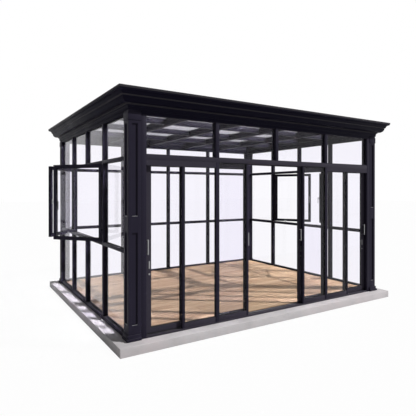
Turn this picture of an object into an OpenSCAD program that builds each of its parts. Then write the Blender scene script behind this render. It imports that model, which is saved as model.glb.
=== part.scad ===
// Aluminium and glass sunroom on a low stone plinth, with four sliding door
// leaves in the front and four outward casements in the side walls.
// Origin: middle of the plinth's underside. +X right, +Y to the back, +Z up.

/* [Plinth and floor] */
// Height of the stone plinth
slab_t = 105; // [60:5:300]
// How far the plinth runs out past the walls
slab_overhang = 155; // [60:5:170]
// Thickness of the plank floor
floor_t = 25; // [15:1:40]

/* [Walls] */
// Outer width over the corner columns
wall_w = 4500; // [4000:50:6000]
// Outer depth over the corner columns
wall_d = 3550; // [2800:50:5000]
// Clear height from the plinth to the header beams
head_z = 2622; // [2500:10:3000]
// Side of the square corner columns
column_w = 155; // [130:5:200]
// Depth of the side and back wall frames
wall_t = 80; // [60:5:110]
// Width of the side and back mullions
mullion_w = 50; // [40:2:70]
// Distance of the outer side mullions from the middle one
side_pitch = 822; // [680:2:860]
// Distance of the outer back mullions from the middle one
back_pitch = 1017; // [800:5:1200]
// Height of the bottom rails
sill_h = 50; // [30:2:90]
// Height of the underside of the middle rails
mid_z = 996; // [700:10:1300]
// Height of the middle and upper rails
rail_h = 40; // [30:2:60]
// Thickness of the sealed glass units
glass_t = 20; // [10:1:30]

/* [Front doors] */
// Height of the underside of the transom beam
beam_z = 2097; // [2000:5:2250]
// Height of the transom beam
beam_h = 60; // [50:2:90]
// Depth of the transom beam and the jambs
beam_t = 110; // [104:2:130]
// How far the outer bays' heads hang below the beam
head_drop = 68; // [50:2:90]
// Width of the door jambs
jamb_w = 66; // [50:2:90]
// Width of the slim posts between the bays
post_w = 53; // [40:1:70]
// Depth of the slim posts and of the heads in the outer bays
post_t = 40; // [36:1:44]
// Distance of the slim posts from the middle of the front
post_pitch = 1028; // [960:2:1100]
// Depth of the mullions above the beam
upper_t = 90; // [60:5:110]
// Distance of the fixed lights' meeting stiles from the middle, outer bays
outer_meeting = 1531; // [1500:1:1560]
// Distance of the fixed lights' meeting stiles from the middle, inner bays
inner_meeting = 534; // [500:1:560]
// Width of the fixed lights' meeting stiles
meeting_w = 32; // [24:1:44]
// Height of the fixed lights' bottom rails
fixed_rail_h = 66; // [50:2:90]
// Height of the door threshold
track_h = 20; // [14:1:30]
// Depth of the door threshold
track_t = 120; // [114:2:140]
// Height of the running rail on the threshold
ridge_h = 7; // [5:1:10]
// Thickness of a sliding leaf
leaf_t = 36; // [30:1:40]
// Front face of the sliding leaves, from the wall's outer face
leaf_v = 52; // [50:1:56]
// Width of a leaf's handle stile
handle_stile_w = 75; // [60:1:90]
// Width of a leaf's other stile
leaf_stile_w = 40; // [32:1:50]
// Height of a leaf's top and bottom rails
leaf_rail_h = 65; // [50:1:80]
// Clearance around moving leaves
clearance = 5; // [5:1:7]
// Gap between a roller or guide and the rail that carries it
seat_gap = 0.3; // [0.2:0.1:0.5]
// How far the two middle leaves stand open
open_w = 475; // [460:5:480]
// Length of the pull handles
handle_h = 180; // [120:10:260]
// Height of the lower end of the pull handles
handle_z = 972; // [800:10:1100]

/* [Casements] */
// Width of a sash bar
sash_w = 45; // [35:1:60]
// Thickness of a sash
sash_t = 45; // [36:1:55]
// Opening angle of the front sash in the left wall
left_front_angle = 39; // [20:1:60]
// Opening angle of the rear sash in the left wall
left_rear_angle = 39; // [20:1:60]
// Opening angle of the front sash in the right wall
right_front_angle = 35; // [20:1:60]
// Opening angle of the rear sash in the right wall
right_rear_angle = 31; // [20:1:60]

/* [Roof] */
// Height of the header beams
header_h = 140; // [120:5:180]
// Thickness of the header beams
header_t = 100; // [90:5:140]
// Overhang of the cornice past the walls
cornice_out = 175; // [150:5:220]
// Height of the cornice moulding
cornice_h = 233; // [230:1:260]
// Height of the cornice's top above the header beams
cornice_up = 134; // [125:1:160]
// Width of the cornice's foot on the header beams
cornice_foot = 45; // [30:1:60]
// Width of a rafter
rafter_w = 60; // [40:2:80]
// Depth of a rafter
rafter_h = 90; // [60:5:110]
// Number of rafters
rafters_n = 4; // [2:1:6]
// Width of a purlin
purlin_w = 50; // [35:1:60]
// Depth of a purlin
purlin_h = 70; // [40:5:90]
// Number of purlin rows
purlins_n = 3; // [1:1:5]
// Thickness of the roof glass
roof_glass_t = 24; // [16:1:36]

/* [Hidden] */

frame_colour = [0.11, 0.10, 0.13];
stone_colour = [0.72, 0.71, 0.70];
plank_colour = [0.66, 0.49, 0.34];
glass_colour = [0.80, 0.82, 0.92, 0.30];
silver_colour = [0.78, 0.78, 0.80];

roof_z = head_z + header_h;
cornice_top = roof_z + cornice_up;
mid_u = wall_w / 2;
mid_v = wall_d / 2;

// Corner columns
panel_w = column_w - 88;
panel_cut = 15;
base_out = 25;
base_h = 30;
step_out = 12;
step_h = 40;
cap_out = 6;
cap_h = 92;
cap_top = head_z + 18;
panel_low = 178;
panel_end = 111;
panel_break = 192;
panel_low_h = mid_z + 248 - panel_low;

// Front wall, measured along it from the left outer corner
jamb_edge = column_w + jamb_w;
head_low = beam_z - head_drop;
leaf_h = beam_z - clearance - track_h - ridge_h - clearance;
leaf_w0 = track_h + ridge_h + clearance;
outer_meeting_u = mid_u - outer_meeting - meeting_w / 2;
inner_meeting_u = mid_u - inner_meeting - meeting_w / 2;
post_u = mid_u - post_pitch - post_w / 2;
outer_leaf_u = jamb_edge + clearance;
outer_leaf_w = outer_meeting_u + leaf_stile_w - outer_leaf_u;
inner_leaf_w = mid_u - clearance / 2 - inner_meeting_u;
inner_leaf_u = inner_meeting_u - open_w;
glazing_v = (post_t - glass_t) / 2;
upper_glazing_v = (post_t + glass_t) / 2;
roller_r = 15;
roller_w = 8;
roller_inset = 120;
guide_h = 12;
guide_t = 3;

// Pull handles
pull_w = 16;
pull_t = 10;
pull_out = 34;
pull_end = 16;
pull_u = 28;
inner_pull_u = inner_leaf_w - (inner_meeting_u + meeting_w + clearance + 3 - inner_leaf_u) - pull_w / 2;

// Side walls, measured along them from the front outer corner
side_mullions = [mid_v - side_pitch, mid_v, mid_v + side_pitch];
back_mullions_u = [mid_u - back_pitch, mid_u, mid_u + back_pitch];
side_posts = concat([column_w - mullion_w / 2], side_mullions, [wall_d - column_w + mullion_w / 2]);
back_posts = concat([column_w - mullion_w / 2], back_mullions_u, [wall_w - column_w + mullion_w / 2]);
wall_glazing = (wall_t - glass_t) / 2;
mid_top = mid_z + rail_h;
beam_rail_top = beam_z + rail_h;

// Casement sashes
sash_len = side_pitch - mullion_w / 2 - 1.5 * clearance;
sash_h = beam_z - mid_top - 2 * clearance;
hinge_out = 10;
hinge_r = 8;
hinge_h = 80;
hinge_plate = 3;
hinge_reach = 32;
hinge_end = 120;

// Roof
roof_edge = cornice_foot + 5;
rafter_pitch = (wall_w - 2 * header_t - rafters_n * rafter_w) / (rafters_n + 1) + rafter_w;
purlin_pitch = (wall_d - 2 * header_t - purlins_n * purlin_w) / (purlins_n + 1) + purlin_w;
glass_joint = 8;

// Moves a shape from the corner of the walls on the plinth into place.
module site() translate([-mid_u, -mid_v, slab_t]) children();

// Draws a shape and its mirror image about the middle of the front.
module both_halves() {
    children();
    right_half() children();
}

// Mirrors a shape about the middle of the front.
module right_half() translate([wall_w, 0, 0]) mirror([1, 0, 0]) children();

// Mirrors a shape about the middle of the side walls.
module rear_half() translate([0, wall_d, 0]) mirror([0, 1, 0]) children();

module bar(u, v, w, du, dv, dw) translate([u, v, w]) cube([du, dv, dw]);

// ---- plinth and floor ----

module plinth_slab() color(stone_colour)
    translate([-mid_u - slab_overhang, -mid_v - slab_overhang, 0])
        cube([wall_w + 2 * slab_overhang, wall_d + 2 * slab_overhang, slab_t]);

// Plank floor, notched around the four columns.
module floor_deck() color(plank_colour) site()
    difference() {
        bar(wall_t, track_t, 0, wall_w - 2 * wall_t, wall_d - track_t - wall_t, floor_t);
        both_halves() {
            bar(0, 0, -1, column_w, column_w, floor_t + 2);
            rear_half() bar(0, 0, -1, column_w, column_w, floor_t + 2);
        }
    }

// ---- corner columns ----

// One sunk panel in the column's face towards -Y.
module panel_cutter(low, high)
    bar((column_w - panel_w) / 2, -1, low, panel_w, panel_cut + 1, high - low);

module panel_pair() {
    panel_cutter(panel_low, panel_low + panel_low_h);
    panel_cutter(panel_low + panel_low_h + panel_break, head_z - panel_end);
}

// Column at the front left corner: sunk panels on its two outer faces.
module column() color(frame_colour) {
    difference() {
        bar(0, 0, 0, column_w, column_w, roof_z);
        panel_pair();
        mirror([1, -1, 0]) panel_pair();
    }
    bar(-base_out, -base_out, 0, column_w + base_out, column_w + base_out, base_h);
    bar(-step_out, -step_out, 0, column_w + step_out, column_w + step_out, base_h + step_h);
    bar(-cap_out, -cap_out, cap_top - cap_h, column_w + cap_out, column_w + cap_out, cap_h);
}

module column_front_left() site() column();
module column_front_right() site() right_half() column();
module column_back_left() site() rear_half() column();
module column_back_right() site() right_half() rear_half() column();

// ---- front wall ----

// Jambs, slim posts, meeting stiles of the fixed lights and mullions above the beam.
module front_posts() color(frame_colour) site() {
    both_halves() {
        bar(column_w, 0, 0, jamb_w, beam_t, head_z);
        bar(post_u, 0, track_h, post_w, post_t, beam_z - track_h);
        bar(post_u, 0, beam_z + beam_h, post_w, upper_t, head_z - beam_z - beam_h);
        bar(outer_meeting_u, glazing_v / 2, track_h, meeting_w, leaf_t, head_low - track_h);
        bar(inner_meeting_u, glazing_v / 2, track_h, meeting_w, leaf_t, beam_z - track_h);
    }
    bar(mid_u - mullion_w / 2, 0, beam_z + beam_h, mullion_w, upper_t, head_z - beam_z - beam_h);
}

module front_transom_beam() color(frame_colour) site()
    bar(jamb_edge, 0, beam_z, wall_w - 2 * jamb_edge, beam_t, beam_h);

// Heads of the outer bays, and the two lips that guide the leaves' top edges.
module door_heads_and_guides() color(frame_colour) site() {
    both_halves()
        bar(jamb_edge, 0, head_low, post_u - jamb_edge, post_t, head_drop);
    for (v = [leaf_v - clearance - guide_t, leaf_v + leaf_t + clearance])
        bar(jamb_edge, v, beam_z - guide_h, wall_w - 2 * jamb_edge, guide_t, guide_h);
}

module door_threshold() color(frame_colour) site()
    bar(jamb_edge, 0, 0, wall_w - 2 * jamb_edge, track_t, track_h);

// Rail on the threshold that the leaves' rollers run on.
module running_rail() color(silver_colour) site()
    bar(jamb_edge, leaf_v + leaf_t / 2 - roller_w / 2, track_h,
        wall_w - 2 * jamb_edge, roller_w, ridge_h);

module front_transom_glass() color(glass_colour) site() both_halves() {
    transom_pane(jamb_edge, post_u);
    transom_pane(post_u + post_w, mid_u - mullion_w / 2);
}

module transom_pane(u0, u1)
    bar(u0, upper_glazing_v, beam_z + beam_h, u1 - u0, glass_t, head_z - beam_z - beam_h);

module fixed_light_rails() color(frame_colour) site() both_halves() {
    fixed_rail(outer_meeting_u + meeting_w, post_u);
    fixed_rail(post_u + post_w, inner_meeting_u);
}

module fixed_rail(u0, u1) bar(u0, glazing_v / 2, track_h, u1 - u0, leaf_t, fixed_rail_h);

module fixed_light_glass() color(glass_colour) site() both_halves() {
    fixed_pane(outer_meeting_u + meeting_w, post_u, head_low);
    fixed_pane(post_u + post_w, inner_meeting_u, beam_z);
}

module fixed_pane(u0, u1, top)
    bar(u0, glazing_v, track_h + fixed_rail_h, u1 - u0, glass_t, top - track_h - fixed_rail_h);

// ---- sliding leaves ----
// Each leaf is drawn with its handle stile on the left, from its lower left front corner.

module leaf_frame(w) color(frame_colour) {
    difference() {
        cube([w, leaf_t, leaf_h]);
        bar(handle_stile_w, -1, leaf_rail_h, w - handle_stile_w - leaf_stile_w,
            leaf_t + 2, leaf_h - 2 * leaf_rail_h);
    }
    for (u = [roller_inset, w - roller_inset])
        translate([u, leaf_t / 2 - roller_w / 2, roller_r - clearance + seat_gap])
            rotate([-90, 0, 0]) cylinder(r = roller_r, h = roller_w, $fn = 48);
}

module leaf_glass(w) color(glass_colour)
    bar(handle_stile_w, (leaf_t - glass_t) / 2, leaf_rail_h,
        w - handle_stile_w - leaf_stile_w, glass_t, leaf_h - 2 * leaf_rail_h);

// Pull handle on two stand-offs, in front of the handle stile.
module leaf_handle(u) color(silver_colour) translate([u - pull_w / 2, 0, handle_z - leaf_w0]) {
    bar(0, -pull_out, 0, pull_w, pull_t, handle_h);
    for (w = [0, handle_h - pull_end])
        bar(0, -pull_out, w, pull_w, pull_out, pull_end);
}

module outer_place() site() translate([outer_leaf_u, leaf_v, leaf_w0]) children();

// The inner leaf has its handle stile on the right, so it is turned over.
module inner_place() site()
    translate([inner_leaf_u + inner_leaf_w, leaf_v, leaf_w0]) mirror([1, 0, 0]) children();

module across() mirror([1, 0, 0]) children();

module leaf_outer_left_frame() outer_place() leaf_frame(outer_leaf_w);
module leaf_outer_left_glass() outer_place() leaf_glass(outer_leaf_w);
module leaf_outer_left_handle() outer_place() leaf_handle(pull_u);
module leaf_inner_left_frame() inner_place() leaf_frame(inner_leaf_w);
module leaf_inner_left_glass() inner_place() leaf_glass(inner_leaf_w);
module leaf_inner_left_handle() inner_place() leaf_handle(inner_pull_u);
module leaf_inner_right_frame() across() leaf_inner_left_frame();
module leaf_inner_right_glass() across() leaf_inner_left_glass();
module leaf_inner_right_handle() across() leaf_inner_left_handle();
module leaf_outer_right_frame() across() leaf_outer_left_frame();
module leaf_outer_right_glass() across() leaf_outer_left_glass();
module leaf_outer_right_handle() across() leaf_outer_left_handle();

// ---- side walls ----
// Drawn for the left wall, whose outer face is at u = 0.

// Two full mullions, and a middle one that stops below and starts again above the casements.
module side_mullions() color(frame_colour) {
    for (v = [side_mullions[0], side_mullions[2]])
        bar(0, v - mullion_w / 2, 0, wall_t, mullion_w, head_z);
    bar(0, mid_v - mullion_w / 2, 0, wall_t, mullion_w, mid_z);
    bar(0, mid_v - mullion_w / 2, beam_rail_top, wall_t, mullion_w, head_z - beam_rail_top);
}

module side_rails() color(frame_colour) {
    for (i = [0 : len(side_posts) - 2])
        side_rail(side_posts[i], side_posts[i + 1], 0, sill_h);
    for (ends = [[0, 1], [1, 3], [3, 4]], w = [mid_z, beam_z])
        side_rail(side_posts[ends[0]], side_posts[ends[1]], w, rail_h);
}

module side_rail(post0, post1, w, h)
    bar(0, post0 + mullion_w / 2, w, wall_t, post1 - post0 - mullion_w, h);

// Fixed panes: every bay below and above, and the two end bays in the middle row.
module side_glass() color(glass_colour)
    for (i = [0 : len(side_posts) - 2]) {
        v0 = side_posts[i] + mullion_w / 2;
        dv = side_posts[i + 1] - mullion_w / 2 - v0;
        bar(wall_glazing, v0, sill_h, glass_t, dv, mid_z - sill_h);
        if (i == 0 || i == len(side_posts) - 2)
            bar(wall_glazing, v0, mid_top, glass_t, dv, beam_z - mid_top);
        bar(wall_glazing, v0, beam_rail_top, glass_t, dv, head_z - beam_rail_top);
    }

// Stands a closed sash, drawn from its hinge line, open on the front mullion of its bay.
module front_sash_place(angle)
    translate([-hinge_out, side_mullions[0] + mullion_w / 2, mid_top + clearance])
        rotate([0, 0, angle]) translate([hinge_out, 0, 0]) children();

// The same for the sash that hangs on the rear outer mullion.
module rear_sash_place(angle) rear_half() front_sash_place(angle) children();

module sash_frame() color(frame_colour) {
    difference() {
        bar(0, clearance, 0, sash_t, sash_len, sash_h);
        bar(-1, clearance + sash_w, sash_w, sash_t + 2, sash_len - 2 * sash_w, sash_h - 2 * sash_w);
    }
    for (w = [hinge_end, sash_h - hinge_end - hinge_h]) {
        translate([-hinge_out, 0, w]) cylinder(r = hinge_r, h = hinge_h, $fn = 32);
        bar(-hinge_out + hinge_r - hinge_plate - 1, 0, w,
            hinge_out - hinge_r + hinge_plate + 1, clearance + hinge_reach, hinge_h);
    }
}

// Fixed half of the two hinges, flat on the mullion's outer face.
module hinge_plates() color(frame_colour)
    for (w = [hinge_end, sash_h - hinge_end - hinge_h])
        bar(-hinge_plate, side_mullions[0] + mullion_w / 2 - hinge_reach, mid_top + clearance + w,
            hinge_plate, hinge_reach, hinge_h);

module sash_glass() color(glass_colour)
    bar((sash_t - glass_t) / 2, clearance + sash_w, sash_w,
        glass_t, sash_len - 2 * sash_w, sash_h - 2 * sash_w);

module sash_frames(front_angle, rear_angle) {
    front_sash_place(front_angle) sash_frame();
    hinge_plates();
    rear_sash_place(rear_angle) sash_frame();
    rear_half() hinge_plates();
}

module sash_panes(front_angle, rear_angle) {
    front_sash_place(front_angle) sash_glass();
    rear_sash_place(rear_angle) sash_glass();
}

module left_mullions() site() side_mullions();
module left_rails() site() side_rails();
module left_glass() site() side_glass();
module left_sash_frames() site() sash_frames(left_front_angle, left_rear_angle);
module left_sash_glass() site() sash_panes(left_front_angle, left_rear_angle);
module right_mullions() site() right_half() side_mullions();
module right_rails() site() right_half() side_rails();
module right_glass() site() right_half() side_glass();
module right_sash_frames() site() right_half() sash_frames(right_front_angle, right_rear_angle);
module right_sash_glass() site() right_half() sash_panes(right_front_angle, right_rear_angle);

// ---- back wall ----

module back_mullions() color(frame_colour) site()
    for (u = back_mullions_u) bar(u - mullion_w / 2, wall_d - wall_t, 0, mullion_w, wall_t, head_z);

module back_rails() color(frame_colour) site()
    for (i = [0 : len(back_posts) - 2]) {
        u0 = back_posts[i] + mullion_w / 2;
        du = back_posts[i + 1] - mullion_w / 2 - u0;
        for (level = [[0, sill_h], [mid_z, rail_h], [beam_z, rail_h]])
            bar(u0, wall_d - wall_t, level[0], du, wall_t, level[1]);
    }

module back_glass() color(glass_colour) site()
    for (i = [0 : len(back_posts) - 2]) {
        u0 = back_posts[i] + mullion_w / 2;
        du = back_posts[i + 1] - mullion_w / 2 - u0;
        for (level = [[sill_h, mid_z], [mid_top, beam_z], [beam_rail_top, head_z]])
            bar(u0, wall_d - wall_glazing - glass_t, level[0], du, glass_t, level[1] - level[0]);
    }

// ---- roof ----

module header_beams() color(frame_colour) site() {
    bar(column_w, 0, head_z, wall_w - 2 * column_w, header_t, header_h);
    bar(column_w, wall_d - header_t, head_z, wall_w - 2 * column_w, header_t, header_h);
    both_halves()
        bar(0, column_w, head_z, header_t, wall_d - 2 * column_w, header_h);
}

// Points of a quarter arc about (x, y), from angle a to angle b.
function arc(x, y, rx, ry, a, b) = [
    for (i = [0 : 6]) [x + rx * cos(a + (b - a) * i / 6), y + ry * sin(a + (b - a) * i / 6)]
];

// Section of the cornice: outward from the wall's face, up from the cornice's top.
cornice_section = concat(
    [[-cornice_foot, 0], [cornice_out - 6, 0], [cornice_out, -6], [cornice_out, -26]],
    [[cornice_out - 8, -40]],
    arc(cornice_out - 8, -88, 42, 44, 90, 180),
    [[cornice_out - 60, -88], [cornice_out - 60, -98]],
    arc(cornice_out - 130, -98, 64, 70, 0, -90),
    [[cornice_out - 145, -168], [cornice_out - 145, -178]],
    arc(cornice_out - 145, -218, 20, 40, 90, 180),
    [[8, -218], [8, -cornice_h], [0, -cornice_h], [0, -cornice_up], [-cornice_foot, -cornice_up]]
);

// One side of the cornice along a wall of the given length, mitred at both ends.
module cornice_side(length) color(frame_colour)
    intersection() {
        translate([-cornice_out, 0, cornice_top]) rotate([90, 0, 90])
            linear_extrude(length + 2 * cornice_out) mirror([1, 0]) polygon(cornice_section);
        translate([0, 0, cornice_top - cornice_h - 1]) linear_extrude(cornice_h + 2)
            polygon([
                [-cornice_out, -cornice_out], [length + cornice_out, -cornice_out],
                [length - cornice_foot, cornice_foot], [cornice_foot, cornice_foot]
            ]);
    }

module cornice_front() site() cornice_side(wall_w);
module cornice_back() site() rear_half() cornice_side(wall_w);
module cornice_left() site() mirror([1, -1, 0]) cornice_side(wall_d);
module cornice_right() site() right_half() mirror([1, -1, 0]) cornice_side(wall_d);

module rafters() color(frame_colour) site()
    for (i = [1 : rafters_n])
        bar(header_t + i * rafter_pitch - rafter_w, header_t, roof_z - rafter_h,
            rafter_w, wall_d - 2 * header_t, rafter_h);

module purlins() color(frame_colour) site()
    for (i = [0 : rafters_n], j = [1 : purlins_n])
        bar(header_t + i * rafter_pitch, header_t + j * purlin_pitch - purlin_w, roof_z - purlin_h,
            rafter_pitch - rafter_w, purlin_w, purlin_h);

// Middle of the joint before pane i of n, along an edge of the given length.
function joint(i, n, pitch, bar_w, length) =
    i == 0 ? roof_edge : i == n ? length - roof_edge : header_t + i * pitch - bar_w / 2;

// One pane for each field of the roof grid, parted over the bars.
module roof_glass() color(glass_colour) site()
    for (i = [0 : rafters_n], j = [0 : purlins_n]) {
        u0 = joint(i, rafters_n + 1, rafter_pitch, rafter_w, wall_w) + (i == 0 ? 0 : glass_joint / 2);
        u1 = joint(i + 1, rafters_n + 1, rafter_pitch, rafter_w, wall_w)
            - (i == rafters_n ? 0 : glass_joint / 2);
        v0 = joint(j, purlins_n + 1, purlin_pitch, purlin_w, wall_d) + (j == 0 ? 0 : glass_joint / 2);
        v1 = joint(j + 1, purlins_n + 1, purlin_pitch, purlin_w, wall_d)
            - (j == purlins_n ? 0 : glass_joint / 2);
        bar(u0, v0, roof_z, u1 - u0, v1 - v0, roof_glass_t);
    }

plinth_slab();
floor_deck();
column_front_left();
column_front_right();
column_back_left();
column_back_right();
front_posts();
front_transom_beam();
door_heads_and_guides();
door_threshold();
running_rail();
front_transom_glass();
fixed_light_rails();
fixed_light_glass();
leaf_outer_left_frame();
leaf_outer_left_glass();
leaf_outer_left_handle();
leaf_inner_left_frame();
leaf_inner_left_glass();
leaf_inner_left_handle();
leaf_inner_right_frame();
leaf_inner_right_glass();
leaf_inner_right_handle();
leaf_outer_right_frame();
leaf_outer_right_glass();
leaf_outer_right_handle();
left_mullions();
left_rails();
left_glass();
left_sash_frames();
left_sash_glass();
right_mullions();
right_rails();
right_glass();
right_sash_frames();
right_sash_glass();
back_mullions();
back_rails();
back_glass();
header_beams();
cornice_front();
cornice_back();
cornice_left();
cornice_right();
rafters();
purlins();
roof_glass();
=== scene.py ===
"""Looks of the glazed sunroom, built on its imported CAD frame."""

import math
import random

import bmesh
import bpy
from mathutils import Matrix, Vector


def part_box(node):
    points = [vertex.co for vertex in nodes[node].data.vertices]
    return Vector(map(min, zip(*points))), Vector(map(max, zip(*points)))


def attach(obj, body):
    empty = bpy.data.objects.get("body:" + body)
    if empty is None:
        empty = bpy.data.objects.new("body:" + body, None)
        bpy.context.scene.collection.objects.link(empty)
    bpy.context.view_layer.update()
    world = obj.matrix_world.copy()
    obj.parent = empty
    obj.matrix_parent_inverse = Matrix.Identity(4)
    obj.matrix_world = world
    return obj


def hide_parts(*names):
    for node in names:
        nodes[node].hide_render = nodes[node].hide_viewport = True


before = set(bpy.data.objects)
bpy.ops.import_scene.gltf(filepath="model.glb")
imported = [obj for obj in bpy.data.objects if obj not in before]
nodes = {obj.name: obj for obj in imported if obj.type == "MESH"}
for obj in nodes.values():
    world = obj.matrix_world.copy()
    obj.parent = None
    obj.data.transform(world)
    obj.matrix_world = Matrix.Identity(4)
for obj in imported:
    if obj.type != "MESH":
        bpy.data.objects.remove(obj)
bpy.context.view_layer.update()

# ---- sizes in metres ----

FRAME_BEVEL = 0.0015
THIN_BEVEL = 0.0006
SASH_EDGE = 0.1
SLIVER = 2e-5
STONE_BEVEL = 0.004
GASKET_W = 0.006
GASKET_H = 0.004
BEAD_W = 0.009
BEAD_H = 0.016
BOARD_GAP = 0.003
BOARD_ROWS = 23
BOARD_BEVEL = 0.0015
UNDERLAY_T = 0.004
SEED = 11

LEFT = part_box("left_mullions")[0].x
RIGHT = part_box("right_mullions")[1].x
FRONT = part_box("header_beams")[0].y
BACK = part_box("header_beams")[1].y
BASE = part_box("plinth_slab")[1].z
COLUMN_W = 0.155
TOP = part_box("cornice_front")[1].z
MOULDING_BANDS = ((0.005, 0.024), (0.087, 0.012), (0.167, 0.012))
PANEL_HALF = 0.033
PANEL_CUT = 0.0148
PANEL_FOOT = 0.178
PANEL_HEAD_FOOT = 1.436
LEDGE_T = 0.004
SASH_T = 0.045
ROLLER_R = 0.015
ROLLER_W = 0.008
ROLLER_INSET = 0.12
LOCK_OFFSET = 0.027
LOCK_T = 0.003
CAP_HALF = 0.028
CAP_T = 0.009
CROSS_CAP_HALF = 0.022
CROSS_CAP_T = 0.007
CAP_SCREWS = 11
CAP_SCREW_END = 0.12
FLASHING_INSET = 0.045
FLASHING_T = 0.003
FLASHING_W = 0.06
CLEAT_NEAR = 0.03
CLEAT_FAR = 0.08
CLEAT_BOLT = 0.056
CLEAT_HALF = 0.024
CLEAT_T = 0.004

X = Vector((1, 0, 0))
Y = Vector((0, 1, 0))
Z = Vector((0, 0, 1))


# ---- node helpers ----


def add(tree, kind, values=None, **settings):
    """A shader node with its settings, and its inputs set to values or linked to sockets."""
    made = tree.nodes.new("ShaderNode" + kind)
    for key, value in settings.items():
        setattr(made, key, value)
    for key, value in (values or {}).items():
        if isinstance(value, bpy.types.NodeSocket):
            tree.links.new(value, made.inputs[key])
        else:
            made.inputs[key].default_value = value
    return made


def math_node(tree, operation, a, b=0.0, clamp=False):
    made = add(tree, "Math", {0: a, 1: b}, operation=operation, use_clamp=clamp)
    return made.outputs[0]


def mix_colour(tree, factor, a, b, blend="MIX"):
    made = add(tree, "Mix", {0: factor, 6: a, 7: b}, data_type="RGBA", blend_type=blend)
    return made.outputs[2]


def span(tree, value, low, high, to_low=0.0, to_high=1.0):
    """A value mapped from one range to another, clamped."""
    names = ("Value", "From Min", "From Max", "To Min", "To Max")
    made = add(tree, "MapRange", dict(zip(names, (value, low, high, to_low, to_high))))
    return made.outputs[0]


def noise(tree, vector, scale, detail=4.0, roughness=0.55):
    values = {"Vector": vector, "Scale": scale, "Detail": detail, "Roughness": roughness}
    return add(tree, "TexNoise", values).outputs["Fac"]


def stretched(tree, vector, scale):
    values = {"Vector": vector, "Scale": scale}
    return add(tree, "Mapping", values).outputs[0]


def bump(tree, height, strength, distance):
    values = {"Height": height, "Strength": strength, "Distance": distance}
    return add(tree, "Bump", values).outputs[0]


def new_material(name):
    """A material with an empty Principled shader, its node tree and its object coordinates."""
    material = bpy.data.materials.new(name)
    material.use_nodes = True
    tree = material.node_tree
    shader = tree.nodes["Principled BSDF"]
    place = tree.nodes.new("ShaderNodeTexCoord").outputs["Object"]
    return material, tree, shader, place


def feed(tree, shader, **values):
    """Sets or links the Principled shader's inputs, named with underscores for spaces."""
    for key, value in values.items():
        socket = shader.inputs[key.replace("_", " ")]
        if isinstance(value, bpy.types.NodeSocket):
            tree.links.new(value, socket)
        else:
            socket.default_value = value


def new_group(name, inputs, outputs):
    """A shader node group whose inputs are (name, value) pairs and whose outputs are values."""
    group = bpy.data.node_groups.new(name, "ShaderNodeTree")
    for label, value in inputs:
        made = group.interface.new_socket(label, in_out="INPUT", socket_type="NodeSocketFloat")
        made.default_value = value
    for label in outputs:
        group.interface.new_socket(label, in_out="OUTPUT", socket_type="NodeSocketFloat")
    given = group.nodes.new("NodeGroupInput")
    result = group.nodes.new("NodeGroupOutput")
    return group, given, result


def use_group(tree, group, **values):
    made = tree.nodes.new("ShaderNodeGroup")
    made.node_tree = group
    for key, value in values.items():
        made.inputs[key].default_value = value
    return made


# ---- shared effects ----


def edge_wear_and_highlight_group():
    """Mask of edge wear and painted edge highlight, 1 along outer edges and broken up by noise."""
    group, given, result = new_group(
        "edge wear and painted highlight", [("Radius", 0.002), ("Amount", 0.5)], ["Mask"]
    )
    place = group.nodes.new("ShaderNodeTexCoord").outputs["Object"]
    flat = group.nodes.new("ShaderNodeNewGeometry").outputs["Normal"]
    rounded = add(group, "Bevel", {"Radius": given.outputs["Radius"]}, samples=4)
    facing = add(group, "VectorMath", {0: flat, 1: rounded.outputs[0]}, operation="DOT_PRODUCT")
    edge = span(group, facing.outputs["Value"], 0.995, 0.9)
    broken = span(group, noise(group, place, 35.0), 0.35, 0.65, 0.3, 1.0)
    mask = math_node(group, "MULTIPLY", edge, broken)
    mask = math_node(group, "MULTIPLY", mask, given.outputs["Amount"], clamp=True)
    group.links.new(mask, result.inputs["Mask"])
    return group


def settled_dust_group():
    """Mask of the dust that lies on faces that look up."""
    group, given, result = new_group("settled dust", [("Amount", 0.3)], ["Mask"])
    place = group.nodes.new("ShaderNodeTexCoord").outputs["Object"]
    facing = group.nodes.new("ShaderNodeNewGeometry").outputs["Normal"]
    height = add(group, "SeparateXYZ", {0: facing}).outputs["Z"]
    up = span(group, height, 0.6, 0.98)
    patches = span(group, noise(group, place, 6.0, 6.0, 0.6), 0.35, 0.7)
    mask = math_node(group, "MULTIPLY", up, patches)
    mask = math_node(group, "MULTIPLY", mask, given.outputs["Amount"], clamp=True)
    group.links.new(mask, result.inputs["Mask"])
    return group


def fine_texture_group():
    """Orange-peel height of a sprayed coat, and its slow change of tone."""
    group, given, result = new_group(
        "fine texture", [("Scale", 700.0)], ["Height", "Tone"]
    )
    place = group.nodes.new("ShaderNodeTexCoord").outputs["Object"]
    group.links.new(noise(group, place, given.outputs["Scale"], 2.0), result.inputs["Height"])
    group.links.new(noise(group, place, 2.3, 5.0, 0.6), result.inputs["Tone"])
    return group


EDGE_WEAR_AND_HIGHLIGHT = edge_wear_and_highlight_group()
SETTLED_DUST = settled_dust_group()
FINE_TEXTURE = fine_texture_group()


# ---- materials ----


def height_bands(tree, place, bands):
    """Mask that is 1 between each pair of heights, softened by a millimetre."""
    height = add(tree, "SeparateXYZ", {0: place}).outputs["Z"]
    mask = 0.0
    for low, high in bands:
        rise = span(tree, height, low - 0.001, low)
        fall = span(tree, height, high, high + 0.001, 1.0, 0.0)
        mask = math_node(tree, "ADD", mask, math_node(tree, "MULTIPLY", rise, fall))
    return mask


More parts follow.
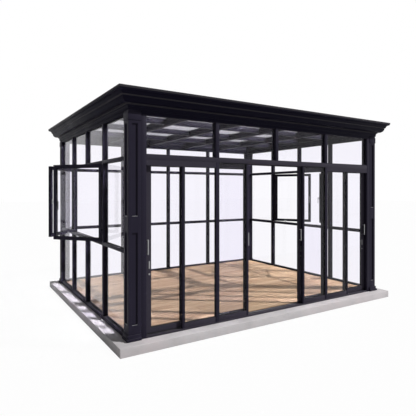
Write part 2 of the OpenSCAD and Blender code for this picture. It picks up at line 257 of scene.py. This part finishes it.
def powder_coat(name, dark, light, dust=0.25, painted_highlight_bands=(), shine=0.05):
    material, tree, shader, place = new_material(name)
    texture = use_group(tree, FINE_TEXTURE, Scale=900.0)
    edges = use_group(tree, EDGE_WEAR_AND_HIGHLIGHT, Radius=0.0025, Amount=0.45)
    settled = use_group(tree, SETTLED_DUST, Amount=dust)
    colour = mix_colour(tree, texture.outputs["Tone"], dark, light)
    # painted highlight: the cornice's lip and fillet bands are lightened where the sun would catch them
    if painted_highlight_bands:
        colour = mix_colour(tree, height_bands(tree, place, painted_highlight_bands), colour, (0.045, 0.042, 0.049, 1))
    # edge wear and painted highlight: the outer edges of the coat are lightened
    colour = mix_colour(tree, edges.outputs["Mask"], colour, (0.085, 0.08, 0.1, 1))
    colour = mix_colour(tree, settled.outputs["Mask"], colour, (0.16, 0.15, 0.14, 1))
    rough = span(tree, texture.outputs["Tone"], 0.3, 0.7, 0.40, 0.52)
    rough = math_node(tree, "ADD", rough, math_node(tree, "MULTIPLY", settled.outputs["Mask"], 0.4))
    normal = bump(tree, texture.outputs["Height"], 0.12, 0.0004)
    feed(tree, shader, Base_Color=colour, Roughness=rough, Normal=normal, Specular_IOR_Level=shine)
    return material


def clear_glass():
    """Clear glass that lets the lamps' light through."""
    material, tree, shader, place = new_material("clear glass")
    drift = noise(tree, place, 0.7, 2.0)
    colour = mix_colour(tree, drift, (0.958, 0.948, 0.990, 1), (0.969, 0.960, 0.995, 1))
    feed(tree, shader, Base_Color=colour, Roughness=0.0, IOR=1.2, Transmission_Weight=1.0)
    through = add(tree, "BsdfTransparent", {"Color": (0.975, 0.97, 0.994, 1)})
    light_path = tree.nodes.new("ShaderNodeLightPath")
    mixed = add(
        tree,
        "MixShader",
        {0: light_path.outputs["Is Shadow Ray"], 1: shader.outputs[0], 2: through.outputs[0]},
    )
    tree.links.new(mixed.outputs[0], tree.nodes["Material Output"].inputs["Surface"])
    return material


def honed_stone():
    material, tree, shader, place = new_material("honed stone")
    clouds = noise(tree, place, 2.6, 8.0, 0.62)
    warm = noise(tree, place, 1.3, 4.0, 0.6)
    grains = noise(tree, place, 160.0, 3.0, 0.7)
    colour = mix_colour(tree, span(tree, clouds, 0.3, 0.7), (0.50, 0.475, 0.485, 1), (0.64, 0.61, 0.62, 1))
    colour = mix_colour(tree, span(tree, warm, 0.5, 0.72, 0.0, 0.5), colour, (0.58, 0.50, 0.51, 1))
    colour = mix_colour(tree, span(tree, grains, 0.62, 0.75, 0.0, 0.35), colour, (0.34, 0.33, 0.33, 1))
    edges = use_group(tree, EDGE_WEAR_AND_HIGHLIGHT, Radius=0.006, Amount=0.4)
    # edge wear and painted highlight: the stone's outer edges are lightened
    colour = mix_colour(tree, edges.outputs["Mask"], colour, (0.66, 0.65, 0.64, 1))
    rough = span(tree, clouds, 0.3, 0.7, 0.55, 0.75)
    height = math_node(tree, "ADD", grains, math_node(tree, "MULTIPLY", clouds, 2.0))
    normal = bump(tree, height, 0.35, 0.002)
    feed(tree, shader, Base_Color=colour, Roughness=rough, Normal=normal, Specular_IOR_Level=0.35)
    return material


def oiled_boards():
    """Tan oak boards: each board's own tone and grain come from its tone attribute."""
    material, tree, shader, place = new_material("oiled oak boards")
    tone = add(tree, "Attribute", attribute_name="board_tone").outputs["Fac"]
    moved = add(tree, "CombineXYZ", {0: math_node(tree, "MULTIPLY", tone, 31.0), 1: tone})
    shifted = add(tree, "VectorMath", {0: place, 1: moved.outputs[0]}, operation="ADD").outputs[0]
    grain = noise(tree, stretched(tree, shifted, (1.6, 46.0, 46.0)), 1.0, 8.0, 0.62)
    pores = noise(tree, stretched(tree, shifted, (9.0, 420.0, 420.0)), 1.0, 3.0, 0.6)
    colour = mix_colour(tree, tone, (0.40, 0.26, 0.155, 1), (0.56, 0.395, 0.255, 1))
    colour = mix_colour(tree, span(tree, grain, 0.42, 0.68, 0.0, 0.6), colour, (0.27, 0.165, 0.10, 1))
    colour = mix_colour(tree, span(tree, pores, 0.55, 0.75, 0.0, 0.4), colour, (0.16, 0.10, 0.06, 1))
    rough = span(tree, grain, 0.3, 0.7, 0.42, 0.62)
    height = math_node(tree, "ADD", grain, math_node(tree, "MULTIPLY", pores, 0.5))
    normal = bump(tree, height, 0.25, 0.0012)
    feed(tree, shader, Base_Color=colour, Roughness=rough, Normal=normal, Specular_IOR_Level=0.15)
    return material


def satin_metal(name, colour, along, roughness):
    """Brushed metal whose fine scratches run along one axis."""
    material, tree, shader, place = new_material(name)
    scale = tuple(12.0 if axis else 900.0 for axis in along)
    brushed = noise(tree, stretched(tree, place, scale), 1.0, 3.0, 0.6)
    scratch = tuple(0.6 * c for c in colour[:3]) + (1,)
    tint = mix_colour(tree, span(tree, brushed, 0.3, 0.7, 0.0, 0.25), colour, scratch)
    rough = span(tree, brushed, 0.3, 0.7, roughness - 0.06, roughness + 0.08)
    normal = bump(tree, brushed, 0.12, 0.0003)
    feed(tree, shader, Base_Color=tint, Roughness=rough, Normal=normal, Metallic=1.0)
    return material


def matt_black(name, colour, roughness, speckle):
    """Rubber and nylon: near black with a fine moulded grain and pale dust."""
    material, tree, shader, place = new_material(name)
    grains = noise(tree, place, speckle, 3.0, 0.6)
    settled = use_group(tree, SETTLED_DUST, Amount=0.25)
    worn = tuple(1.8 * c for c in colour[:3]) + (1,)
    tint = mix_colour(tree, span(tree, grains, 0.4, 0.7), colour, worn)
    tint = mix_colour(tree, settled.outputs["Mask"], tint, (0.12, 0.11, 0.10, 1))
    rough = span(tree, grains, 0.3, 0.7, roughness - 0.08, roughness + 0.08)
    normal = bump(tree, grains, 0.2, 0.0004)
    feed(tree, shader, Base_Color=tint, Roughness=rough, Normal=normal, Specular_IOR_Level=0.15)
    return material


COAT = powder_coat("dark powder coat", (0.0165, 0.0142, 0.026, 1), (0.0235, 0.0205, 0.035, 1))
# painted shade: a darker copy of the dark coat for the cornices and header beams, which sit in shade; its
# lip and fillet bands carry painted highlights
SHADED_COAT = powder_coat(
    "powder coat darkened for painted shade", (0.0070, 0.0062, 0.014, 1), (0.0110, 0.0097, 0.020, 1),
    painted_highlight_bands=[(TOP - depth - height, TOP - depth) for depth, height in MOULDING_BANDS], shine=0.02,
)
SLIDING_COAT = powder_coat("sliding door coat", (0.034, 0.030, 0.043, 1), (0.047, 0.042, 0.058, 1))
GLASS = clear_glass()
STONE = honed_stone()
BOARDS = oiled_boards()
SILVER = satin_metal("satin aluminium", (0.32, 0.32, 0.33, 1), (0, 0, 1), 0.34)
RAIL_SILVER = satin_metal("drawn aluminium", (0.10, 0.10, 0.105, 1), (1, 0, 0), 0.3)
STEEL = satin_metal("screw steel", (0.5, 0.5, 0.52, 1), (0, 1, 0), 0.3)
RUBBER = matt_black("black rubber", (0.010, 0.010, 0.011, 1), 0.7, 500.0)
NYLON = matt_black("black nylon", (0.014, 0.014, 0.016, 1), 0.5, 250.0)


# ---- mesh helpers ----


def merged_copy(node):
    """A bmesh of a CAD node with its doubles and slivers cleared and its flat faces joined."""
    bm = bmesh.new()
    bm.from_mesh(nodes[node].data)
    bmesh.ops.remove_doubles(bm, verts=bm.verts, dist=1e-5)
    bmesh.ops.dissolve_degenerate(bm, edges=bm.edges, dist=SLIVER)
    bmesh.ops.dissolve_limit(
        bm, angle_limit=math.radians(1), use_dissolve_boundaries=False,
        verts=bm.verts, edges=bm.edges, delimit=set(),
    )
    return bm


def soften(bm, width, segments=2, edges=None):
    """Rounds the outer edges of a mesh, or those among the given edges."""
    sharp = [
        e for e in (edges if edges is not None else bm.edges)
        if len(e.link_faces) == 2 and e.is_convex and e.calc_face_angle(0) > 0.5
    ]
    bmesh.ops.bevel(
        bm, geom=sharp, offset=width, offset_type="OFFSET", affect="EDGES",
        segments=segments, profile=0.5, material=-1, clamp_overlap=True,
    )


def box_matrix(low, high):
    size = high - low
    return Matrix.Translation((low + high) / 2) @ Matrix.Diagonal((*size, 1))


def add_bar(bm, low, high, place=None):
    """A box between two corners, optionally set in another frame."""
    matrix = box_matrix(Vector(low), Vector(high))
    if place is not None:
        matrix = place @ matrix
    return bmesh.ops.create_cube(bm, size=1, matrix=matrix)["verts"]


def add_rod(bm, centre, axis, radius, length, segments=24, end_radius=None):
    """A round bar or a cone about a centre along an axis."""
    turn = axis.to_track_quat("Z", "Y").to_matrix().to_4x4()
    matrix = Matrix.Translation(centre) @ turn
    tip = radius if end_radius is None else end_radius
    return bmesh.ops.create_cone(
        bm, cap_ends=True, segments=segments, radius1=radius, radius2=tip,
        depth=length, matrix=matrix,
    )["verts"]


def add_ring(bm, corner, along, up, out, width, height):
    """A flat frame laid on a rectangle, standing out of it by its height."""
    points = (corner, corner + along, corner + along + up, corner + up)
    face = bm.faces.new([bm.verts.new(p) for p in points])
    bm.normal_update()
    if face.normal.dot(out) < 0:
        face.normal_flip()
    ring = bmesh.ops.inset_individual(bm, faces=[face], thickness=width, use_even_offset=True)
    bmesh.ops.delete(bm, geom=[face], context="FACES_ONLY")
    made = bmesh.ops.extrude_face_region(bm, geom=ring["faces"], use_keep_orig=True)
    risen = [v for v in made["geom"] if isinstance(v, bmesh.types.BMVert)]
    bmesh.ops.translate(bm, verts=risen, vec=out.normalized() * height)


def make_piece(name, bm, material, body="building", stands_for=(), smooth=False):
    """The finished mesh as an object that rides on a body."""
    bmesh.ops.recalc_face_normals(bm, faces=bm.faces)
    mesh = bpy.data.meshes.new(name)
    bm.to_mesh(mesh)
    bm.free()
    mesh.materials.append(material)
    if smooth:
        mesh.shade_smooth()
        mesh.set_sharp_from_angle(angle=math.radians(38))
    made = bpy.data.objects.new(name, mesh)
    bpy.context.scene.collection.objects.link(made)
    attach(made, body)
    if stands_for:
        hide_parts(*stands_for)
    return made


def softened_node(node, material, bevel=FRAME_BEVEL, segments=2, shortest=0.0):
    """A CAD node's shape with its edges of at least the shortest length rounded."""
    bm = merged_copy(node)
    soften(bm, bevel, segments, [e for e in bm.edges if e.calc_length() >= shortest])
    return make_piece(node + "_finished", bm, material, stands_for=(node,), smooth=True)


def islands(bm):
    """The vertices of each separate solid of a mesh."""
    left, found = set(bm.verts), []
    while left:
        start = left.pop()
        group, queue = {start}, [start]
        while queue:
            for edge in queue.pop().link_edges:
                for v in edge.verts:
                    if v not in group:
                        group.add(v)
                        queue.append(v)
        left -= group
        found.append(group)
    return found


def panes(node):
    """Each pane of a glass node: a corner, and the edges along, up and through it."""
    bm = merged_copy(node)
    found = []
    for group in islands(bm):
        start = min(group, key=lambda v: (round(v.co.z, 4), round(v.co.y, 4), round(v.co.x, 4)))
        reach = [e.other_vert(start).co - start.co for e in start.link_edges]
        reach.sort(key=lambda e: e.length)
        through = reach[0]
        first, second = reach[1], reach[2]
        if abs(first.z) > abs(second.z):
            first, second = second, first
        found.append((start.co.copy(), first.copy(), second.copy(), through.copy()))
    bm.free()
    found.sort(key=lambda p: tuple(round(c, 4) for c in p[0]))
    return found


def stand_in_frame(origin, a, b, c):
    """The matrix of a frame with these three directions."""
    turn = Matrix((a.normalized(), b.normalized(), c.normalized())).transposed()
    return Matrix.Translation(origin) @ turn.to_4x4()


# ---- seals round the glass ----


def glass_seals(node, name, body="building", bead=False, inward=None):
    """Rubber strips round both faces of every pane, and beads on the room side."""
    rubber = bmesh.new()
    beads = bmesh.new()
    for corner, along, up, through in panes(node):
        out = through.normalized()
        sides = ((corner, -out), (corner + through, out))
        for start, way in sides:
            add_ring(rubber, start, along, up, way, GASKET_W, GASKET_H)
            if bead and way.dot(inward) > 0:
                add_ring(beads, start + way * GASKET_H, along, up, way, BEAD_W, BEAD_H)
    bmesh.ops.recalc_face_normals(rubber, faces=rubber.faces)
    soften(rubber, 0.001, 1)
    make_piece(name + "_gaskets", rubber, RUBBER, body=body)
    if bead:
        bmesh.ops.recalc_face_normals(beads, faces=beads.faces)
        soften(beads, 0.003, 2)
        make_piece(name + "_beads", beads, COAT, body)
    else:
        beads.free()


def glaze():
    for name, node in nodes.items():
        if name.endswith("glass"):
            node.data.materials.clear()
            node.data.materials.append(GLASS)
    glass_seals("left_glass", "left_wall", bead=True, inward=X)
    glass_seals("right_glass", "right_wall", bead=True, inward=-X)
    glass_seals("back_glass", "back_wall", bead=True, inward=-Y)
    glass_seals("front_transom_glass", "transom", bead=True, inward=-Y)
    glass_seals("fixed_light_glass", "fixed_lights")
    glass_seals("left_sash_glass", "left_sashes")
    glass_seals("right_sash_glass", "right_sashes")


# ---- plinth and floor ----


def plinth():
    softened_node("plinth_slab", STONE, STONE_BEVEL, 3)


def floor():
    """Boards that run from side to side, in staggered lengths, on a dark underlay."""
    rng = random.Random(SEED)
    low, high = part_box("floor_deck")
    inner_left, inner_right = LEFT + COLUMN_W, RIGHT - COLUMN_W
    first, last = FRONT + COLUMN_W, BACK - COLUMN_W
    pitch = (last - first) / BOARD_ROWS
    rows = [(low.y, first, inner_left, inner_right), (last, high.y, inner_left, inner_right)]
    rows += [(first + i * pitch, first + (i + 1) * pitch, low.x, high.x) for i in range(BOARD_ROWS)]
    bm = bmesh.new()
    tone_layer = bm.verts.layers.float.new("board_tone")
    for near, far, start, end in rows:
        cut = start + rng.uniform(0.5, 1.9)
        stops = [start]
        while cut < end - 0.4:
            stops.append(cut)
            cut += rng.uniform(1.7, 2.4)
        stops.append(end)
        for a, b in zip(stops, stops[1:]):
            tone = rng.random()
            verts = add_bar(
                bm,
                (a + BOARD_GAP / 2, near + BOARD_GAP / 2, low.z + UNDERLAY_T),
                (b - BOARD_GAP / 2, far - BOARD_GAP / 2, high.z),
            )
            for v in verts:
                v[tone_layer] = tone
    soften(bm, BOARD_BEVEL, 2)
    make_piece("floor_boards", bm, BOARDS, stands_for=("floor_deck",))
    under = bmesh.new()
    for near, far, start, end in (
        (low.y, first, inner_left, inner_right),
        (first, last, low.x, high.x),
        (last, high.y, inner_left, inner_right),
    ):
        add_bar(under, (start, near, low.z), (end, far, low.z + UNDERLAY_T))
    make_piece("floor_underlay", under, RUBBER)


# ---- columns, posts, beams and rails ----


def columns():
    for name in ("front_left", "front_right", "back_left", "back_right"):
        softened_node("column_" + name, COAT, 0.002, 3)
    # painted highlight: silver strips at the feet of the sunk panels stand for the sun catching their
    # sills
    panel_highlight_strips()


def panel_highlight_strips():
    """A bright silver strip at the foot of each sunk column panel, a painted highlight where the panel's
    sill catches the sun.
    """
    middle = COLUMN_W / 2
    bm = bmesh.new()
    for z in (BASE + PANEL_FOOT, BASE + PANEL_HEAD_FOOT):
        for x in (LEFT + middle, RIGHT - middle):
            for y in (FRONT, BACK - PANEL_CUT):
                add_bar(bm, (x - PANEL_HALF, y, z), (x + PANEL_HALF, y + PANEL_CUT, z + LEDGE_T))
        for y in (FRONT + middle, BACK - middle):
            for x in (LEFT, RIGHT - PANEL_CUT):
                add_bar(bm, (x, y - PANEL_HALF, z), (x + PANEL_CUT, y + PANEL_HALF, z + LEDGE_T))
    soften(bm, 0.001, 2)
    make_piece("column_panel_ledges", bm, SILVER, smooth=True)


def straight_bars():
    """Every plain run of coated profile."""
    for name in (
        "front_posts", "left_mullions", "left_rails", "right_mullions", "right_rails",
        "back_mullions", "back_rails", "rafters", "purlins",
    ):
        softened_node(name, COAT)
    for name in ("left_sash_frames", "right_sash_frames"):
        softened_node(name, COAT, shortest=SASH_EDGE)
    for name in ("front_transom_beam", "fixed_light_rails", "door_threshold"):
        softened_node(name, SLIDING_COAT)
    softened_node("door_heads_and_guides", SLIDING_COAT, THIN_BEVEL, 1)
    # the cornices and header beams take the copy of the coat darkened as painted shade
    for name in ("header_beams", "cornice_front", "cornice_back", "cornice_left", "cornice_right"):
        softened_node(name, SHADED_COAT)
    softened_node("running_rail", RAIL_SILVER, 0.002, 3)


# ---- sliding leaves ----


def leaf_frame(leaf):
    """Two stiles and two rails, butted at the corners, on two rollers."""
    low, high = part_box(leaf + "_frame")
    glass_low, glass_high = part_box(leaf + "_glass")
    foot = glass_low.z - (high.z - glass_high.z)
    bm = bmesh.new()
    add_bar(bm, (low.x, low.y, foot), (glass_low.x, high.y, high.z))
    add_bar(bm, (glass_high.x, low.y, foot), (high.x, high.y, high.z))
    add_bar(bm, (glass_low.x, low.y, foot), (glass_high.x, high.y, glass_low.z))
    add_bar(bm, (glass_low.x, low.y, glass_high.z), (glass_high.x, high.y, high.z))
    soften(bm, FRAME_BEVEL)
    make_piece(leaf + "_bars", bm, SLIDING_COAT, leaf, (leaf + "_frame",))
    wheels = bmesh.new()
    for x in (low.x + ROLLER_INSET, high.x - ROLLER_INSET):
        centre = Vector((x, (low.y + high.y) / 2, low.z + ROLLER_R))
        add_rod(wheels, centre, Y, ROLLER_R, ROLLER_W, 36)
    soften(wheels, 0.001)
    make_piece(leaf + "_rollers", wheels, NYLON, body=leaf, smooth=True)
    glass_seals(leaf + "_glass", leaf, leaf)


def pull_handle(leaf):
    """A rounded grip on two round stand-offs with small rosettes."""
    low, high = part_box(leaf + "_handle")
    x = (low.x + high.x) / 2
    bm = bmesh.new()
    add_bar(bm, low, (high.x, low.y + 0.01, high.z))
    soften(bm, 0.0042, 4)
    for z in (low.z + 0.012, high.z - 0.012):
        centre = Vector((x, (low.y + high.y) / 2 + 0.003, z))
        add_rod(bm, centre, Y, 0.0055, high.y - low.y - 0.006, 24)
        add_rod(bm, Vector((x, high.y - 0.0015, z)), Y, 0.008, 0.003, 32)
    make_piece(leaf + "_pull", bm, SILVER, leaf, (leaf + "_handle",), smooth=True)


def door_lock(leaf):
    """A flat plate and a round cylinder cover, thin enough to pass behind the fixed lights."""
    low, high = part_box(leaf + "_frame")
    pull_low, pull_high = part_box(leaf + "_handle")
    pull_x = (pull_low.x + pull_high.x) / 2
    x = pull_x + math.copysign(LOCK_OFFSET, (low.x + high.x) / 2 - pull_x)
    bm = bmesh.new()
    add_bar(bm, (x - 0.008, low.y - LOCK_T, pull_low.z - 0.17), (x + 0.008, low.y, pull_low.z - 0.08))
    soften(bm, 0.0012)
    add_rod(bm, Vector((x, low.y - 0.0012, pull_low.z - 0.235)), Y, 0.011, 0.0024, 32)
    make_piece(leaf + "_lock", bm, SILVER, leaf, smooth=True)


def threshold_ribs():
    """Raised ribs along both edges of the threshold."""
    low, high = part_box("door_threshold")
    bm = bmesh.new()
    for y in (low.y + 0.004, high.y - 0.018, high.y - 0.009):
        add_bar(bm, (low.x, y - 0.0015, high.z), (high.x, y + 0.0015, high.z + 0.002))
    soften(bm, 0.0008, 1)
    make_piece("threshold_ribs", bm, SLIDING_COAT)


def sliding_leaves():
    for name in ("outer_left", "inner_left", "inner_right", "outer_right"):
        leaf_frame("leaf_" + name)
        pull_handle("leaf_" + name)
        door_lock("leaf_" + name)
    threshold_ribs()


# ---- casements ----


def casement_fittings(node, name, inward, wall_x):
    """On each open sash, a handle on the free stile and a friction stay from the rail below."""
    handles, stays = bmesh.new(), bmesh.new()
    for corner, along, up, through in panes(node):
        outward_end = abs((corner + along).x) > abs(corner.x)
        way = (along if outward_end else -along).normalized()
        free = corner + along if outward_end else corner
        faces_in = through.dot(inward) > 0
        out = (through if faces_in else -through).normalized()
        depth = (SASH_T + through.length) / 2 if faces_in else (SASH_T - through.length) / 2
        place = stand_in_frame(free + up / 2 + out * depth, way, out, Z)
        add_bar(handles, (0.0115, 0, -0.035), (0.0335, 0.008, 0.035), place)
        add_bar(handles, (0.0155, 0.024, -0.11), (0.0295, 0.034, 0.012), place)
        soften(handles, 0.002)
        add_rod(handles, place @ Vector((0.0225, 0.016, 0)), out, 0.006, 0.02, 20)
        foot = free - way * (along.length - 0.2) + out * (depth + 0.002) - Z * 0.03
        rail = Vector((wall_x, foot.y + math.copysign(0.14, way.y), foot.z - 0.014))
        arm = rail - foot
        across = arm.cross(Z)
        add_bar(
            stays, (0, -0.006, 0), (arm.length, 0.006, 0.003),
            stand_in_frame(foot, arm, across, arm.cross(across)),
        )
        add_bar(stays, (-0.03, -0.002, -0.008), (0.03, 0.001, 0.008), stand_in_frame(foot, way, out, Z))
        add_bar(stays, rail - Vector((0.008, 0.03, 0.004)), rail + Vector((0.008, 0.03, 0)))
    make_piece(name + "_handles", handles, SILVER, smooth=True)
    soften(stays, 0.0006, 1)
    make_piece(name + "_stays", stays, STEEL)


def hinge_screws(node, name, wall_x):
    """Two countersunk heads on the fixed half of each hinge."""
    low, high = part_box(node)
    bm = bmesh.new()
    for y in (low.y + 0.016, high.y - 0.016):
        for z in (low.z + 0.138, low.z + 0.182, high.z - 0.182, high.z - 0.138):
            add_rod(bm, Vector((wall_x, y, z)), X, 0.0045, 0.002, 16)
    make_piece(name + "_hinge_screws", bm, STEEL)


def weep_covers(node, name, out):
    """Two small drain covers on the outside of the rail under each of the lowest panes."""
    lowest = min(pane[0].z for pane in panes(node))
    bm = bmesh.new()
    for corner, along, up, through in panes(node):
        if corner.z > lowest + 0.01:
            continue
        for part in (0.22, 0.78):
            spot = corner + along * part
            if out.x:
                face = Vector((LEFT if out.x < 0 else RIGHT, spot.y, 0))
            else:
                face = Vector((spot.x, BACK, 0))
            place = stand_in_frame(face + Z * (BASE + 0.016), along, out, Z)
            add_bar(bm, (-0.016, 0, -0.0045), (0.016, 0.003, 0.0045), place)
    bmesh.ops.recalc_face_normals(bm, faces=bm.faces)
    soften(bm, 0.0012, 2)
    make_piece(name + "_weep_covers", bm, NYLON)


def side_and_back_fittings():
    casement_fittings("left_sash_glass", "left_sash", X, LEFT + 0.04)
    casement_fittings("right_sash_glass", "right_sash", -X, RIGHT - 0.04)
    hinge_screws("left_sash_frames", "left", LEFT - 0.003)
    hinge_screws("right_sash_frames", "right", RIGHT + 0.003)
    weep_covers("left_glass", "left", -X)
    weep_covers("right_glass", "right", X)
    weep_covers("back_glass", "back", Y)


# ---- roof ----


def joint_middles(axis):
    """Where the joints between the roof panes run, across one axis."""
    edges = []
    for corner, along, up, through in panes("roof_glass"):
        far = corner + along + up + through
        edges.append((round(min(corner[axis], far[axis]), 4), round(max(corner[axis], far[axis]), 4)))
    runs = sorted(set(edges))
    return [(a[1] + b[0]) / 2 for a, b in zip(runs, runs[1:])]


def roof():
    """Pressure caps over the joints with their screws, and flashing to the cornice."""
    low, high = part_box("roof_glass")
    top = high.z
    caps, screws = bmesh.new(), bmesh.new()
    long_joints, cross_joints = joint_middles(0), joint_middles(1)
    for x in long_joints:
        add_bar(caps, (x - CAP_HALF, low.y, top), (x + CAP_HALF, high.y, top + CAP_T))
    cap_sides = [x for joint in long_joints for x in (joint - CAP_HALF, joint + CAP_HALF)]
    stops = [low.x] + cap_sides + [high.x]
    for y in cross_joints:
        for a, b in zip(stops[::2], stops[1::2]):
            add_bar(caps, (a, y - CROSS_CAP_HALF, top), (b, y + CROSS_CAP_HALF, top + CROSS_CAP_T))
    soften(caps, 0.002, 2)
    make_piece("roof_caps", caps, COAT)
    screw_run = high.y - low.y - 2 * CAP_SCREW_END
    for x in long_joints:
        for i in range(CAP_SCREWS):
            y = low.y + CAP_SCREW_END + i * screw_run / (CAP_SCREWS - 1)
            add_rod(screws, Vector((x, y, top + 0.0095)), Z, 0.008, 0.002, 16)
            add_rod(screws, Vector((x, y, top + 0.012)), Z, 0.005, 0.004, 6)
    make_piece("roof_screws", screws, STEEL)
    flashing = bmesh.new()
    corner = Vector((LEFT + FLASHING_INSET, FRONT + FLASHING_INSET, top))
    along = X * (RIGHT - LEFT - 2 * FLASHING_INSET)
    up = Y * (BACK - FRONT - 2 * FLASHING_INSET)
    add_ring(flashing, corner, along, up, Z, FLASHING_W, FLASHING_T)
    add_ring(flashing, corner + Z * FLASHING_T, along, up, Z, FLASHING_T, FLASHING_W)
    bmesh.ops.recalc_face_normals(flashing, faces=flashing.faces)
    soften(flashing, 0.0008, 1)
    make_piece("roof_flashing", flashing, COAT)
    glass_seals("roof_glass", "roof")
    purlin_cleats(long_joints, cross_joints)


def purlin_cleats(rafter_lines, purlin_lines):
    """A plate under each end of every purlin against its rafter, with a bolt."""
    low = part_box("purlins")[0].z
    plates, bolts = bmesh.new(), bmesh.new()
    for x in rafter_lines:
        for y in purlin_lines:
            for side in (-1, 1):
                near, far = sorted((x + side * CLEAT_NEAR, x + side * CLEAT_FAR))
                add_bar(plates, (near, y - CLEAT_HALF, low - CLEAT_T), (far, y + CLEAT_HALF, low))
                add_rod(bolts, Vector((x + side * CLEAT_BOLT, y, low - 0.0065)), Z, 0.008, 0.005, 6)
    soften(plates, 0.0012, 2)
    make_piece("purlin_cleats", plates, COAT)
    make_piece("purlin_bolts", bolts, STEEL)


# ---- camera, light and ground ----

CAMERA_PLACE = (-3.9231, -6.1454, 1.8464)
CAMERA_TURN = 32.146
CAMERA_DIP = 0.098
CAMERA_LENS = 34.777
CAMERA_SHIFT = -0.042
SENSOR_W = 36
FAR_CLIP = 300
SUN_HEIGHT = math.radians(42)
SUN_SPREAD = 0.5
GROUND_HALF = 60
GROUND_WHITE = 0.97
SUN_FROM = Vector((0.796, -0.605, 0)) * math.cos(SUN_HEIGHT) + Z * math.sin(SUN_HEIGHT)
SUN_STRENGTH = 3.5
WORLD_STRENGTH = 0.13


def add_camera():
    data = bpy.data.cameras.new("camera")
    data.lens = CAMERA_LENS
    data.sensor_width = SENSOR_W
    data.shift_y = CAMERA_SHIFT
    data.clip_end = FAR_CLIP
    camera = bpy.data.objects.new("camera", data)
    camera.location = CAMERA_PLACE
    camera.rotation_euler = (math.radians(90 - CAMERA_DIP), 0, math.radians(-CAMERA_TURN))
    bpy.context.scene.collection.objects.link(camera)
    bpy.context.scene.camera = camera


def add_sun():
    data = bpy.data.lights.new("sun", "SUN")
    data.energy = SUN_STRENGTH
    data.angle = math.radians(SUN_SPREAD)
    sun = bpy.data.objects.new("sun", data)
    sun.rotation_euler = SUN_FROM.to_track_quat("Z", "Y").to_euler()
    bpy.context.scene.collection.objects.link(sun)


def shown_rays(tree):
    """1 for rays that show the background: camera, mirror and glass rays before any soft bounce."""
    path = tree.nodes.new("ShaderNodeLightPath")
    rays = math_node(tree, "MAXIMUM", path.outputs["Is Camera Ray"], path.outputs["Is Glossy Ray"])
    rays = math_node(tree, "MAXIMUM", rays, path.outputs["Is Transmission Ray"])
    fresh = math_node(tree, "LESS_THAN", path.outputs["Diffuse Depth"], 0.5)
    return math_node(tree, "MULTIPLY", rays, fresh)


def add_world():
    world = bpy.data.worlds.new("studio")
    world.use_nodes = True
    bpy.context.scene.world = world
    tree = world.node_tree
    strength = span(tree, shown_rays(tree), 0.0, 1.0, WORLD_STRENGTH, 1.0)
    background = tree.nodes["Background"]
    background.inputs["Color"].default_value = (1, 1, 1, 1)
    tree.links.new(strength, background.inputs["Strength"])


def add_ground():
    """A pale floor that shows white and keeps a light shadow of the object."""
    bm = bmesh.new()
    bmesh.ops.create_grid(bm, x_segments=1, y_segments=1, size=GROUND_HALF)
    mesh = bpy.data.meshes.new("ground")
    bm.to_mesh(mesh)
    bm.free()
    material, tree, shader = new_material("pale ground")[:3]
    feed(tree, shader, Base_Color=(0.6, 0.6, 0.6, 1), Roughness=1.0, Specular_IOR_Level=0.0)
    white = add(tree, "Emission", {"Color": (1, 1, 1, 1), "Strength": 1.0})
    factor = math_node(tree, "MULTIPLY", shown_rays(tree), GROUND_WHITE)
    mixed = add(tree, "MixShader", {0: factor, 1: shader.outputs[0], 2: white.outputs[0]})
    tree.links.new(mixed.outputs[0], tree.nodes["Material Output"].inputs["Surface"])
    mesh.materials.append(material)
    ground = bpy.data.objects.new("ground", mesh)
    bpy.context.scene.collection.objects.link(ground)


plinth()
floor()
columns()
straight_bars()
sliding_leaves()
side_and_back_fittings()
glaze()
roof()
add_camera()
add_sun()
add_world()
add_ground()
bpy.context.scene.view_settings.view_transform = "Standard"
